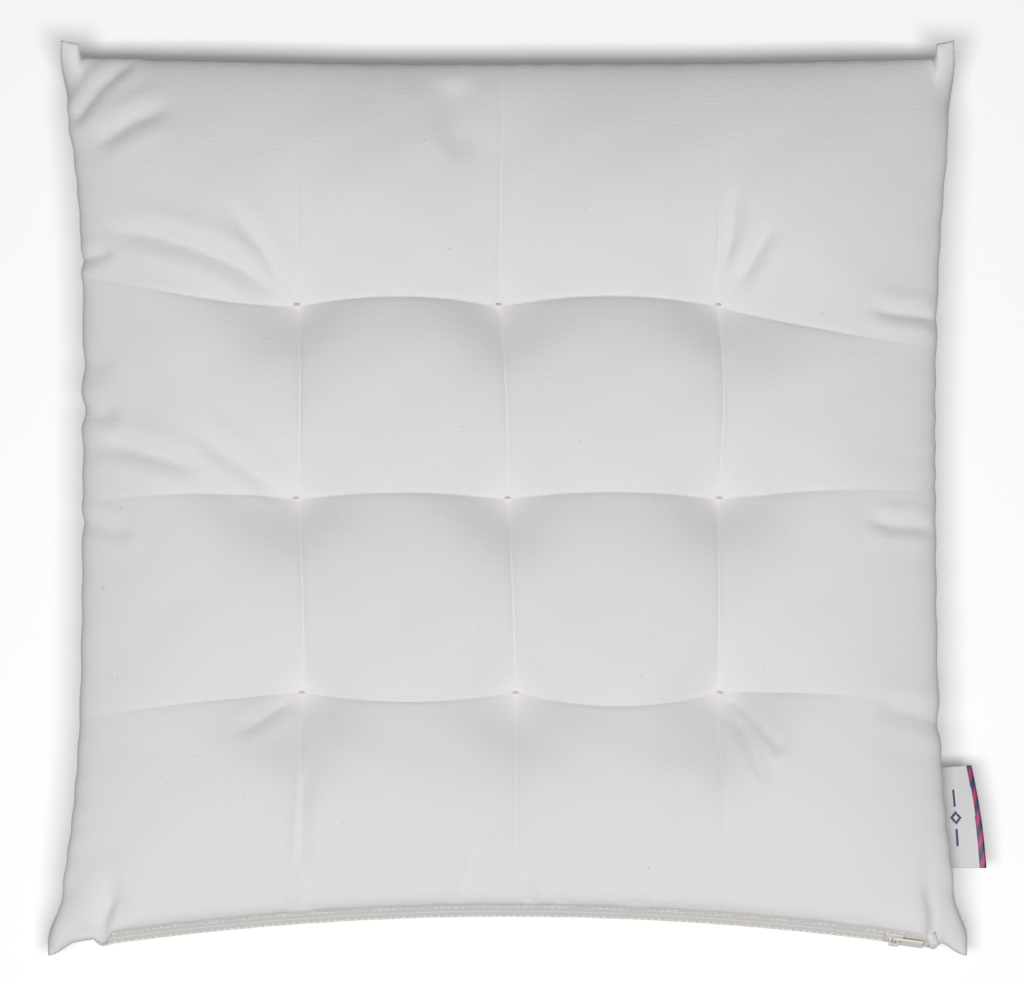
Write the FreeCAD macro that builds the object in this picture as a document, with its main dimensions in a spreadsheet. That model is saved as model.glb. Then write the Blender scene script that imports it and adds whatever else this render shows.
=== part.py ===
"""Tufted cotton seat pad: a stuffed cover with a zip in its front seam.

The pad lies on its flat underside. The origin is the middle of that underside, +X is the
right side, -Y the front (the side with the zip) and +Z up. Sizes are millimetres and degrees.
"""
import FreeCAD, Part
import math
import os

import Sketcher
from FreeCAD import Placement, Rotation, Vector

SIZES = [
    # cover and filling
    ("pad_width", 400, "corner to corner, left to right"),
    ("pad_depth", 400, "corner to corner, front to back"),
    ("pad_thickness", 46, "underside to crown"),
    ("side_bow", 12, "how far the sides and the back pull in between their corners"),
    ("front_bow", 16, "how far the front pulls in between its corners"),
    ("seam_height", 15, "widest line of the pad above the underside"),
    ("top_shoulder", 75, "width of the rounded edge above the seam"),
    ("base_shoulder", 50, "width of the rounded edge below the seam"),
    ("cloth_thickness", 0.8, "cotton cloth with its turnings"),
    ("fill_gap", 0.2, "room between cloth and filling"),
    # tufts
    ("tuft_pitch_width", 93, "between tufts, left to right"),
    ("tuft_pitch_depth", 86, "between tufts, front to back"),
    ("back_centre_shift", -4, "the back centre tuft is sewn this far to the right"),
    ("front_left_shift", 3, "the front left tuft is sewn this far to the right"),
    ("front_centre_shift", 3.5, "the front centre tuft is sewn this far to the right"),
    ("tuft_top", 27, "height of the upper bar stitches"),
    ("tuft_base", 7, "height of the lower bar stitches"),
    ("top_dimple", 32, "diameter of a dimple at the crown"),
    ("base_dimple", 18, "diameter of a dimple at the underside"),
    ("dimple_floor", 4.4, "diameter of a dimple at its stitch"),
    ("tuft_thread", 0.9, "diameter of the doubled tuft thread"),
    ("bar_length", 2.4, "length of a bar stitch"),
    ("thread_gap", 0.1, "room round a thread"),
    # edge seam
    ("seam_thread", 0.5, "diameter of the seam thread"),
    ("seam_end", 6, "seam thread stops this far short of a corner or the label"),
    # zip, measured along its tape, across it and square to it
    ("zip_length", 359, "length of the tapes"),
    ("zip_shift", 4.5, "the zip sits this far to the right of the middle"),
    ("zip_width", 8.4, "both tapes between the two folds of cloth"),
    ("slit_width", 1.0, "gap between the tapes"),
    ("tape_thickness", 0.6, "woven tape"),
    ("tape_stitch", 0.3, "diameter of the thread that holds a tape"),
    ("coil_width", 1.7, "one row of the chain"),
    ("coil_depth", 1.6, "the chain below its tape"),
    ("chain_margin", 10, "tape beyond each end of the chain"),
    ("stop_length", 2.5, "top and bottom stops"),
    ("running_gap", 0.3, "room round the slider"),
    ("tunnel_depth", 5, "room for the slider in the filling"),
    # slider and pull
    ("slider_length", 8, "along the chain"),
    ("slider_plate", 0.9, "thickness of each plate"),
    ("flange_thickness", 0.8, "walls beside the chain"),
    ("web_thickness", 0.4, "wall between the plates, in the slit"),
    ("web_length", 4, "that wall, along the chain"),
    ("bridge_width", 1.6, "strap that holds the pull, across the chain"),
    ("bridge_strap", 0.8, "thickness of that strap"),
    ("pull_length", 13, "pivot to tip"),
    ("pull_width", 4.6, "across the pull"),
    ("pull_thickness", 1.0, "stamped sheet"),
    ("pull_eye", 3.2, "pivot to the far end of the eye"),
    # label
    ("label_length", 44, "along the seam"),
    ("label_reach", 17, "seam to fold"),
    ("label_root", 3, "sewn into the seam"),
    ("label_ply", 0.35, "one layer of the folded label"),
    ("label_loop", 1.1, "gap between the layers at the fold"),
    ("label_place", 140, "middle of the label in front of the pad's middle"),
    ("label_lean", 6, "turn of the label towards the front corner"),
]
LOFT_STEPS = 4  # sections between the seam and a flat face
SLOT_MARGIN = 20  # how far a cutting shape runs past what it cuts
Z_AXIS = Vector(0, 0, 1)

doc = FreeCAD.newDocument("seat_pad")
sheet = doc.addObject("Spreadsheet::Sheet", "Sizes")
for row, (alias, value, note) in enumerate(SIZES, start=1):
    sheet.set(f"A{row}", alias)
    sheet.set(f"B{row}", str(value))
    sheet.set(f"C{row}", note)
    sheet.setAlias(f"B{row}", alias)
doc.recompute()
nodes = {}


def size(alias):
    return float(sheet.get(alias))


def cell(alias):
    return f"Sizes.{alias}"


# ---------------------------------------------------------------- shared geometry
def outline(inset, height):
    """The pad's edge at one height: four bowed sides that meet in pointed corners."""
    half_width = size("pad_width") / 2 - inset
    half_depth = size("pad_depth") / 2 - inset
    slack = 1 - inset / (2 * size("top_shoulder"))
    side_bow, front_bow = size("side_bow") * slack, size("front_bow") * slack
    corners = [
        Vector(-half_width, -half_depth, height),
        Vector(half_width, -half_depth, height),
        Vector(half_width, half_depth, height),
        Vector(-half_width, half_depth, height),
    ]
    middles = [
        Vector(0, front_bow - half_depth, height),
        Vector(half_width - side_bow, 0, height),
        Vector(0, half_depth - side_bow, height),
        Vector(side_bow - half_width, 0, height),
    ]
    return [
        Part.Arc(corners[i], middles[i], corners[(i + 1) % 4]).toShape()
        for i in range(4)
    ]


def pillow(gap):
    """The pad without its dimples, its whole surface moved inwards by gap."""
    sections = []
    for step in range(-LOFT_STEPS, LOFT_STEPS + 1):
        turn = math.radians(90 * step / LOFT_STEPS)
        if step > 0:
            shoulder, rise = size("top_shoulder"), size("pad_thickness") - size("seam_height")
        else:
            shoulder, rise = size("base_shoulder"), size("seam_height")
        height = size("seam_height") + (rise - gap) * math.sin(turn)
        sections.append(Part.Wire(outline(gap + shoulder * (1 - math.cos(turn)), height)))
    return Part.makeLoft(sections, True, True)


OFF_LINE = {
    ("back", "centre"): "back_centre_shift",
    ("front", "left"): "front_left_shift",
    ("front", "centre"): "front_centre_shift",
}


def tuft_places():
    """Each tuft's name and its place, row by row. Three of them are sewn a little off line."""
    for row, depth in (("front", -1), ("middle", 0), ("back", 1)):
        for column, width in (("left", -1), ("centre", 0), ("right", 1)):
            shift = OFF_LINE.get((row, column))
            across = width * size("tuft_pitch_width") + (size(shift) if shift else 0)
            place = Vector(across, depth * size("tuft_pitch_depth"), 0)
            yield f"tuft_thread_{row}_{column}", place


def dimple(gap, floor, mouth_height, mouth):
    """A funnel from a tuft's stitch out to the surface, enlarged by gap."""
    rise = abs(mouth_height - floor)
    start = Vector(0, 0, floor)
    direction = Vector(0, 0, math.copysign(1, mouth_height - floor))
    narrow, wide = size("dimple_floor") / 2 + gap, mouth / 2 + gap
    return Part.makeCone(narrow, wide, rise, start, direction)


def quilted(gap):
    """The pad with its dimples, its whole surface moved inwards by gap."""
    solid = pillow(gap)
    top = dimple(gap, size("tuft_top") - gap, size("pad_thickness"), size("top_dimple"))
    base = dimple(gap, size("tuft_base") + gap, 0, size("base_dimple"))
    channel_radius = size("tuft_thread") / 2 + size("thread_gap")
    channel = Part.makeCylinder(channel_radius, size("pad_thickness"))
    cutters = []
    for _, place in tuft_places():
        for shape in (top, base, channel):
            cutters.append(shape.translated(place))
    return solid.cut(cutters)


def bow_radius(chord, bow):
    return (chord**2 / 4 + bow**2) / (2 * bow)


# The zip fills the middle of the first band above the seam. It lies on the arc of the
# front edge and slopes as that band does, with its outer face level with the cloth.
band_turn = math.radians(90 / LOFT_STEPS)
band_inset = size("top_shoulder") * (1 - math.cos(band_turn))
band_rise = (size("pad_thickness") - size("seam_height")) * math.sin(band_turn)
slope = math.atan2(band_rise, band_inset)
front_radius = bow_radius(size("pad_width"), size("front_bow"))
arc_centre = Vector(0, size("front_bow") - size("pad_depth") / 2 - front_radius, 0)
slit_radius = front_radius + band_inset / 2 + size("tape_thickness") * math.sin(slope)
slit_height = size("seam_height") + band_rise / 2 - size("tape_thickness") * math.cos(slope)
slope_turn = math.degrees(slope)


def arc_angle(length):
    """The angle in degrees that a length along the slit takes on the arc."""
    return math.degrees(length / slit_radius)


def on_zip(along):
    """The frame of a piece on the zip: X along it, Y up its slope and Z square to it."""
    turn = Placement(arc_centre, Rotation(Z_AXIS, -arc_angle(along)))
    sloped = Placement(
        Vector(0, slit_radius, slit_height), Rotation(Vector(1, 0, 0), slope_turn)
    )
    return turn.multiply(sloped)


def zip_ring(length, across, square):
    """A plain band along the zip, for cutting: across and square are (low, high)."""
    corners = [
        Vector(0, across[i], square[j]) for i, j in ((0, 0), (1, 0), (1, 1), (0, 1))
    ]
    section = Part.Face(Part.makePolygon(corners + corners[:1]))
    section.Placement = on_zip(size("zip_shift") - length / 2)
    # The band turns from its left end to its right end.
    return section.revolve(arc_centre, Z_AXIS, -arc_angle(length))


# ---------------------------------------------------------------- document helpers
def origin_feature(body, role):
    return next(f for f in body.Origin.OriginFeatures if f.Role == role)


def rectangle(body, name, plane, offset, spans, holes=()):
    """A sketch of one rectangle, and of any holes in it. A span is (low, high) sizes as
    expressions: across the sketch first, then up it."""
    sketch = body.newObject("Sketcher::SketchObject", name)
    sketch.AttachmentSupport = [(origin_feature(body, plane), "")]
    sketch.MapMode = "FlatFace"
    sketch.AttachmentOffset = offset
    for (low_x, high_x), (low_y, high_y) in (spans, *holes):
        draw_rectangle(sketch, (low_x, low_y, high_x, high_y))
    return sketch


def draw_rectangle(sketch, limits):
    """Four lines, each fixed to the sketch's origin by one of the limits."""
    left, low, right, high = (value_of(limit) for limit in limits)
    corners = [Vector(left, low), Vector(right, low), Vector(right, high), Vector(left, high)]
    first = sketch.GeometryCount
    for i in range(4):
        sketch.addGeometry(Part.LineSegment(corners[i], corners[(i + 1) % 4]), False)
    for i in range(4):
        following = first + (i + 1) % 4
        sketch.addConstraint(Sketcher.Constraint("Coincident", first + i, 2, following, 1))
        level = "Horizontal" if i % 2 == 0 else "Vertical"
        sketch.addConstraint(Sketcher.Constraint(level, first + i))
    for corner, kind, limit in (
        (first, "DistanceX", limits[0]),
        (first, "DistanceY", limits[1]),
        (first + 2, "DistanceX", limits[2]),
        (first + 2, "DistanceY", limits[3]),
    ):
        index = sketch.addConstraint(
            Sketcher.Constraint(kind, -1, 1, corner, 1, value_of(limit))
        )
        sketch.setExpression(f"Constraints[{index}]", limit)


def value_of(expression):
    """The number that an expression in sheet cells stands for."""
    return float(sheet.evalExpression(expression))


def new_body(name, placement):
    body = doc.addObject("PartDesign::Body", name)
    body.Label = name
    body.Placement = placement
    nodes[name] = body
    return body


def slab(body, name, along, across, square, holes=()):
    """A block in a body's own frame, from sizes along, across and square to the zip."""
    low, high = square
    offset = Placement(Vector(0, 0, value_of(low)), Rotation())
    sketch = rectangle(body, f"{name}_outline", "XY_Plane", offset, (along, across), holes)
    sketch.setExpression("AttachmentOffset.Base.z", low)
    pad = body.newObject("PartDesign::Pad", name)
    pad.Profile = sketch
    pad.setExpression("Length", f"({high}) - ({low})")
    sketch.Visibility = False
    return pad


def zip_band(name, length, across, square):
    """A piece that runs along the zip, swept on the arc of the front edge."""
    placement = Placement(arc_centre, Rotation(Z_AXIS, -arc_angle(size("zip_shift"))))
    body = new_body(name, placement)
    offset = Placement(Vector(slit_radius, slit_height, 0), Rotation(Z_AXIS, slope_turn))
    sketch = rectangle(body, f"{name}_section", "YZ_Plane", offset, (across, square))
    sweep = body.newObject("PartDesign::Revolution", f"{name}_sweep")
    sweep.Profile = sketch
    sweep.ReferenceAxis = (origin_feature(body, "Z_Axis"), [""])
    sweep.Midplane = True
    sweep.Angle = arc_angle(length)
    return body


def shape_node(name, shape):
    feature = doc.addObject("Part::Feature", name)
    feature.Shape = shape
    feature.Label = name
    nodes[name] = feature
    return feature


# ---------------------------------------------------------------- label
def make_label():
    """A folded strip of woven tape. Its two ends are sewn into the right-hand seam, where
    the cloth pinches them together, and its layers part towards the fold."""
    place = -size("label_place")
    edge_radius = bow_radius(size("pad_depth"), size("side_bow"))
    edge = (
        size("pad_width") / 2
        - size("side_bow")
        + edge_radius
        - math.sqrt(edge_radius**2 - place**2)
    )
    frame = Placement(
        Vector(edge, place, size("seam_height")), Rotation(Z_AXIS, size("label_lean"))
    )
    ply, half_loop = size("label_ply"), size("label_loop") / 2
    reach, root = size("label_reach"), size("label_root")
    neck = root + ply  # where the layers begin to part
    centre = reach - half_loop - ply  # centre of the fold
    half_length = size("label_length") / 2

    def loop(radius, start, foot):
        """One closed outline of the section, from its foot round the fold and back."""
        upper = [Vector(start, 0, foot), Vector(neck, 0, foot), Vector(centre, 0, radius)]
        lower = [Vector(p.x, 0, -p.z) for p in reversed(upper)]
        fold = Part.Arc(upper[-1], Vector(centre + radius, 0, 0), lower[0]).toShape()
        edges = [Part.makeLine(upper[i], upper[i + 1]) for i in range(2)] + [fold]
        edges += [Part.makeLine(lower[i], lower[i + 1]) for i in range(2)]
        return Part.Wire(edges + [Part.makeLine(lower[-1], upper[0])])

    def gap_inside():
        """The space between the layers, a wedge that ends in the round fold."""
        tip = Vector(neck, 0, 0)
        high, low = Vector(centre, 0, half_loop), Vector(centre, 0, -half_loop)
        fold = Part.Arc(high, Vector(centre + half_loop, 0, 0), low).toShape()
        return Part.Wire([Part.makeLine(tip, high), fold, Part.makeLine(low, tip)])

    outer_face, inner_face = Part.Face(loop(half_loop + ply, -root, ply)), Part.Face(gap_inside())
    section = outer_face.cut(inner_face).Faces[0]
    solid = section.extrude(Vector(0, size("label_length"), 0))
    solid.translate(Vector(0, -half_length, 0))
    solid.Placement = frame.multiply(solid.Placement)
    slot_gap = size("thread_gap")
    slot = Part.makeBox(
        root + SLOT_MARGIN,
        size("label_length") + 2 * slot_gap,
        2 * (ply + slot_gap),
        Vector(-root - slot_gap, -half_length - slot_gap, -ply - slot_gap),
    )
    slot.Placement = frame.multiply(slot.Placement)
    shape_node("woven_label", solid)
    return slot


# ---------------------------------------------------------------- cover and filling
def make_cover_and_filling(label_slot):
    """Two panels of cloth that meet at the seam, and the filling inside them. The front
    seam is open where the zip fills it."""
    half_zip = size("zip_width") / 2
    window = zip_ring(
        size("zip_length"), (-half_zip, half_zip), (-size("tunnel_depth"), SLOT_MARGIN)
    )
    shell = quilted(0).cut([quilted(size("cloth_thickness")), window, label_slot])
    half_space = Part.makeBox(
        size("pad_width") + SLOT_MARGIN,
        size("pad_depth") + SLOT_MARGIN,
        size("seam_height") + SLOT_MARGIN,
        Vector(
            -(size("pad_width") + SLOT_MARGIN) / 2,
            -(size("pad_depth") + SLOT_MARGIN) / 2,
            -SLOT_MARGIN,
        ),
    )
    below_slit = zip_ring(
        size("zip_length"), (-SLOT_MARGIN, 0), (-size("tunnel_depth"), SLOT_MARGIN)
    )
    lower_side = half_space.fuse(below_slit)
    shape_node("cover_top_panel", single_solid(shell.cut(lower_side)))
    shape_node("cover_bottom_panel", single_solid(shell.common(lower_side)))

    tunnel_half = half_zip + size("running_gap")
    tunnel = zip_ring(
        size("zip_length") + 2 * size("running_gap"),
        (-tunnel_half, tunnel_half),
        (-size("tunnel_depth"), SLOT_MARGIN),
    )
    inside = quilted(size("cloth_thickness") + size("fill_gap"))
    shape_node("fibre_filling", single_solid(inside.cut([tunnel, label_slot])))


def single_solid(shape):
    """The one large solid of a cut; scraps that a cut leaves at the corners go."""
    return max(shape.Solids, key=lambda solid: solid.Volume)


# ---------------------------------------------------------------- tufts and seam
def make_tufts():
    """Each tuft is a doubled thread through the whole pad, tied down by a short bar
    stitch on each face."""
    for name, place in tuft_places():
        shank = doc.addObject("Part::Cylinder", f"{name}_shank")
        shank.setExpression("Radius", f"{cell('tuft_thread')} / 2")
        ends = f"{cell('tuft_top')} - {cell('tuft_base')} + {cell('tuft_thread')}"
        shank.setExpression("Height", ends)
        radius = size("tuft_thread") / 2
        shank.Placement = Placement(place + Vector(0, 0, size("tuft_base") - radius), Rotation())
        pieces = [shank]
        for face, height in (("top", size("tuft_top") + radius), ("base", size("tuft_base") - radius)):
            bar = doc.addObject("Part::Cylinder", f"{name}_{face}_bar")
            bar.setExpression("Radius", f"{cell('tuft_thread')} / 2")
            bar.setExpression("Height", cell("bar_length"))
            start = place + Vector(-size("bar_length") / 2, 0, height)
            bar.Placement = Placement(start, Rotation(Vector(0, 1, 0), 90))
            pieces.append(bar)
        tuft = doc.addObject("Part::MultiFuse", name)
        tuft.Shapes = pieces
        tuft.Label = name
        nodes[name] = tuft


def thread_run(edge, start, end):
    """A round thread along a bowed edge, between two distances from the edge's start."""
    low, high = edge.ParameterRange
    place = low + start / edge.Length * (high - low)
    ring = Part.makeCircle(size("seam_thread") / 2, edge.valueAt(place), edge.tangentAt(place))
    turn = math.degrees((end - start) / edge.Curve.Radius)
    return Part.Face(Part.Wire(ring)).revolve(edge.Curve.Center, edge.Curve.Axis, turn)


def make_seam_thread():
    """The lockstitch round the three closed sides, lying in the groove of the seam. It
    breaks off where the label comes out."""
    inset = -size("seam_thread") / 2 - size("thread_gap")
    right, back, left = outline(inset, size("seam_height"))[1:]
    end = size("seam_end")
    label_middle = right.Length / 2 - size("label_place")
    half_break = size("label_length") / 2 + end
    runs = [
        thread_run(right, end, label_middle - half_break),
        thread_run(right, label_middle + half_break, right.Length - end),
        thread_run(back, end, back.Length - end),
        thread_run(left, end, left.Length - end),
    ]
    shape_node("edge_seam_thread", Part.makeCompound(runs))


# ---------------------------------------------------------------- zip
def make_tapes_and_chain():
    """Two woven tapes side by side, the rows of coil under them and the stitching that
    holds each tape to its fold of cloth. The coil is on the inner side of the tapes."""
    chain_length = size("zip_length") - 2 * size("chain_margin")
    slit, edge = f"{cell('slit_width')} / 2", f"{cell('zip_width')} / 2"
    coil_edge = f"{slit} + {cell('coil_width')}"
    stitch_inner = f"{edge} - 2 * {cell('tape_stitch')}"
    stitch_outer = f"{edge} - {cell('tape_stitch')}"
    tape_face = cell("tape_thickness")
    for side, sign in (("upper", 1), ("lower", -1)):
        zip_band(
            f"zip_tape_{side}", size("zip_length"), mirrored(slit, edge, sign), ("0 mm", tape_face)
        )
        zip_band(
            f"zip_coil_{side}",
            chain_length,
            mirrored(slit, coil_edge, sign),
            (f"-{cell('coil_depth')}", "0 mm"),
        )
        zip_band(
            f"zip_stitching_{side}",
            size("zip_length"),
            mirrored(stitch_inner, stitch_outer, sign),
            (tape_face, f"{tape_face} + {cell('tape_stitch')}"),
        )


def mirrored(near, far, sign):
    """A span above the slit, or the same span below it."""
    return (near, far) if sign > 0 else (f"-({far})", f"-({near})")


def stop_block(name, along, across, low):
    """A small block on the chain's line, pressed on beyond the end of the coil."""
    block = doc.addObject("Part::Box", name)
    block.setExpression("Length", cell("stop_length"))
    block.setExpression("Width", f"{across[1]} - ({across[0]})")
    block.setExpression("Height", cell("coil_depth"))
    corner = Placement(Vector(0, value_of(across[0]), low), Rotation())
    block.Placement = on_zip(along).multiply(corner)
    return block


def make_stops():
    """Two top stops, one on each tape, and one bottom stop across both tapes."""
    half_chain = size("zip_length") / 2 - size("chain_margin")
    slit = f"{cell('slit_width')} / 2"
    coil_edge = f"{slit} + {cell('coil_width')}"
    depth = -size("coil_depth")
    reach = half_chain + size("thread_gap")
    right_end = size("zip_shift") + reach
    left_end = size("zip_shift") - reach - size("stop_length")
    pair = [
        stop_block(f"zip_top_stop_{side}", right_end, mirrored(slit, coil_edge, sign), depth)
        for side, sign in (("upper", 1), ("lower", -1))
    ]
    group = doc.addObject("Part::Compound", "zip_top_stops")
    group.Links = pair
    group.Label = "zip_top_stops"
    nodes["zip_top_stops"] = group
    across = (f"-({coil_edge})", coil_edge)
    bottom = stop_block("zip_bottom_stop", left_end, across, depth)
    bottom.Label = "zip_bottom_stop"
    nodes["zip_bottom_stop"] = bottom


def slider_rest():
    """Where the slider's middle is when the zip is shut, just short of the top stops."""
    half_chain = size("zip_length") / 2 - size("chain_margin")
    return size("zip_shift") + half_chain - size("slider_length") / 2 - size("running_gap")


def make_slider():
    """Two plates with the tapes between them, walls round the coil, a web in the slit that
    joins the plates, and a bridge over the pull's pivot."""
    body = new_body("zip_slider", on_zip(slider_rest()))
    gap, plate = cell("running_gap"), cell("slider_plate")
    half_length = f"{cell('slider_length')} / 2"
    along = (f"-{half_length}", half_length)
    wall_inner = f"{cell('slit_width')} / 2 + {cell('coil_width')} + {gap}"
    wall_outer = f"{wall_inner} + {cell('flange_thickness')}"
    across = (f"-({wall_outer})", wall_outer)
    chain_floor = f"-({cell('coil_depth')} + {gap})"
    outer_low = f"{cell('tape_thickness')} + {gap}"
    outer_high = f"{outer_low} + {plate}"
    slab(body, "inner_plate", along, across, (f"{chain_floor} - {plate}", chain_floor))
    for side, sign in (("upper", 1), ("lower", -1)):
        wall = mirrored(wall_inner, wall_outer, sign)
        slab(body, f"flange_{side}", along, wall, (chain_floor, f"-{gap}"))
    half_web = f"{cell('web_thickness')} / 2"
    half_run = f"{cell('web_length')} / 2"
    web_across = (f"-{half_web}", half_web)
    slab(body, "web", (f"-{half_run}", half_run), web_across, (chain_floor, outer_low))
    stitch_inner = f"{cell('zip_width')} / 2 - 2 * {cell('tape_stitch')}"
    between_stitches = (f"-({stitch_inner} - {gap})", f"{stitch_inner} - {gap}")
    slab(body, "outer_plate", along, between_stitches, (outer_low, outer_high))
    half_bridge = f"{cell('bridge_width')} / 2"
    bridge_across = (f"-{half_bridge}", half_bridge)
    post_inner = f"{cell('pull_thickness')} + {gap}"
    post_outer = f"{post_inner} + {cell('bridge_strap')}"
    strap_low = f"{outer_high} + 2 * {cell('pull_thickness')} + {gap}"
    for side, sign in (("right", 1), ("left", -1)):
        post = mirrored(post_inner, post_outer, sign)
        slab(body, f"bridge_post_{side}", post, bridge_across, (outer_high, strap_low))
    strap_high = f"{strap_low} + {cell('bridge_strap')}"
    strap_along = (f"-({post_outer})", post_outer)
    slab(body, "bridge_strap_bar", strap_along, bridge_across, (strap_low, strap_high))


def make_pull():
    """A flat pull whose eye goes round the slider's bridge. Its end bar is the pivot. At
    rest it lies along the zip, towards the right-hand corner."""
    half_thick = size("pull_thickness") / 2
    outer_face = size("tape_thickness") + size("running_gap") + size("slider_plate")
    pivot_height = outer_face + size("running_gap") + half_thick
    pivot = Placement(Vector(0, 0, pivot_height), Rotation())
    body = new_body("zip_pull", on_zip(slider_rest()).multiply(pivot))
    half = f"{cell('pull_thickness')} / 2"
    half_width = f"{cell('pull_width')} / 2"
    half_eye = f"{cell('bridge_width')} / 2 + {cell('running_gap')}"
    eye = ((half, cell("pull_eye")), (f"-({half_eye})", half_eye))
    slab(
        body,
        "pull_plate",
        (f"-{half}", cell("pull_length")),
        (f"-{half_width}", half_width),
        (f"-{half}", half),
        [eye],
    )


# ---------------------------------------------------------------- assembly and export
def check_and_export():
    doc.recompute()
    for item in doc.Objects:
        if {"Invalid", "Error"} & set(item.State):
            raise RuntimeError(f"{item.Name} failed: {item.State}")
    os.makedirs("parts", exist_ok=True)
    for name, item in nodes.items():
        shape = item.Shape
        if shape.isNull() or not shape.isValid() or not shape.Solids:
            raise RuntimeError(f"{name} has no valid solid")
        print(f"{name}: {len(shape.Solids)} solid(s), {shape.Volume:.1f} mm3")
    for name, item in nodes.items():
        item.Shape.exportStep(f"parts/{name}.step")


def report_places():
    """Print the places the record needs: the zip's arc, the slider's run and the pull's pivot."""
    chain = size("zip_length") - 2 * size("chain_margin")
    travel = chain - size("slider_length") - 2 * size("running_gap")
    print(f"zip arc: centre {arc_centre}, radius {slit_radius:.3f}, height {slit_height:.3f}")
    print(f"slider at {on_zip(slider_rest()).Base}")
    print(f"slider's travel {travel:.2f} mm or {arc_angle(travel):.3f} degrees")
    pull_base = nodes["zip_pull"].Placement
    pivot_axis = pull_base.Rotation.multVec(Vector(0, 1, 0))
    print(f"pull pivot {pull_base.Base}, axis {pivot_axis}")


label_slot = make_label()
make_cover_and_filling(label_slot)
make_tufts()
make_seam_thread()
make_tapes_and_chain()
make_stops()
make_slider()
make_pull()
check_and_export()
report_places()
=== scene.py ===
import math

import bmesh
import bpy
import numpy as np
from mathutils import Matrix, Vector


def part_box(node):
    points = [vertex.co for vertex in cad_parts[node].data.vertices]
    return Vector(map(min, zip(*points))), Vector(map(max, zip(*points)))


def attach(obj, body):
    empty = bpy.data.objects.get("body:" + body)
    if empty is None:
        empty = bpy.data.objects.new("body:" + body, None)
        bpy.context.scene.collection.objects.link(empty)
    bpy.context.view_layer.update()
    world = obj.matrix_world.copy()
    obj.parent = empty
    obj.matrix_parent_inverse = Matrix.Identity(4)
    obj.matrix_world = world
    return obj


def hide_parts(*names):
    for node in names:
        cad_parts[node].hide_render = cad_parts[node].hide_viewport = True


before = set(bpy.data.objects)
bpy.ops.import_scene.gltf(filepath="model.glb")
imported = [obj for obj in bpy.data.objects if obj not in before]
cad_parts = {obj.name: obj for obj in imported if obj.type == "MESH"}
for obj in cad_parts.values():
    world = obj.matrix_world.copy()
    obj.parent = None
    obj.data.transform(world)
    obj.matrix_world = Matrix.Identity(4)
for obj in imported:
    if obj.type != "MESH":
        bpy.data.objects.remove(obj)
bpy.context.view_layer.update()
mm = 0.001

# ---------------------------------------------------------------- filled cotton cover
# Two square panels of white cotton, sewn together inside out and filled with loose polyester
# fibre. The zip is set into the front seam, nine tufts draw the panels together, and the
# cloth puckers along the seams and fans out in folds from the tufts.
PAD = 400.0  # between the points of two corners
SEAM_HEIGHT, CROWN = 15.0, 45.5
TOP_SHOULDER, BASE_SHOULDER = 78.0, 52.0  # width of the rounded edge above and below the seam
TOP_OVERHANG, BASE_OVERHANG = 4.2, 1.6
ROUNDNESS = 2.15  # 2 would make the edges elliptical
TUFT_ROWS = (-86.0, 0.0, 86.0)
TUFT_COLUMNS = (-93.0, 0.0, 93.0)
TUFT_TOP, TUFT_BASE = 26.2, 7.8
ZIP_CENTRE_Y, ZIP_RADIUS, ZIP_HEIGHT, ZIP_SLOPE = -1442.0, 1261.4, 20.67, math.radians(64.3)
ZIP_LEFT, ZIP_RIGHT = -176.0, 185.0
MOUTH = 4.35  # the zip's middle to the folded edge of either panel


def smooth(value, low, high):
    """0 below low, 1 above high, with an eased step between."""
    t = np.clip((value - low) / (high - low), 0, 1)
    return t * t * (3 - 2 * t)


def spaced(knots, pitch, crowding=0.62):
    """Places along one side: crowded at each knot, which is an edge or a row of tufts."""
    places = [np.array([knots[0]])]
    for start, end in zip(knots, knots[1:]):
        count = round((end - start) / pitch)
        t = np.arange(1, count + 1) / count
        places.append(start + (end - start) * (t - crowding * np.sin(2 * np.pi * t) / (2 * np.pi)))
    return np.concatenate(places)


def side_knots(rows):
    """Both ends of a side, with the tufts' rows between them."""
    return (-PAD / 2, *rows, PAD / 2)


across = spaced(side_knots(TUFT_COLUMNS), 1.7)
along = spaced(side_knots(TUFT_ROWS), 1.7)
flat_x, flat_y = np.meshgrid(across, along, indexing="ij")
u, v = flat_x / (PAD / 2), flat_y / (PAD / 2)

# the tufts' own places, a little off the even rows and columns
tuft = {}
for row in ("front", "middle", "back"):
    for column in ("left", "centre", "right"):
        low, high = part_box(f"tuft_thread_{row}_{column}")
        tuft[row, column] = ((low.x + high.x) / 2 / mm, (low.y + high.y) / 2 / mm)


def crease_line(places, starts, bows, t):
    """A line through starts at places; between each two it bows aside by its own amount."""
    line = np.interp(t, places, starts)
    for first, last, bow in zip(places, places[1:], bows):
        s = np.clip((t - first) / (last - first), 0, 1)
        line = line + bow * 4 * s * (1 - s)
    return line


def tent(t, knots, k):
    """1 at knot k, 0 at its neighbours and beyond."""
    return np.interp(t, knots[k - 1 : k + 2], (0, 1, 0))


# column by column: where the crease meets the front edge, its four bows, and the back edge
COLUMN_CREASES = {
    "left": (-95, (0, 0.8, 0.8, -0.8), -92),
    "centre": (3, (0.6, 0.6, 1.6, 0.8), -3),
    "right": (96, (0, 0.6, 3.0, 0), 96),
}
# row by row: the same from the left edge to the right
ROW_CREASES = {
    "front": (-98, (0.0, -5.5, -7.5, 1.0), -93),
    "middle": (-3, (2.2, 1.5, 1.8, 0.5), 3),
    "back": (101, (-5.0, 3.0, 3.2, -3.0), 66),
}
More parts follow.
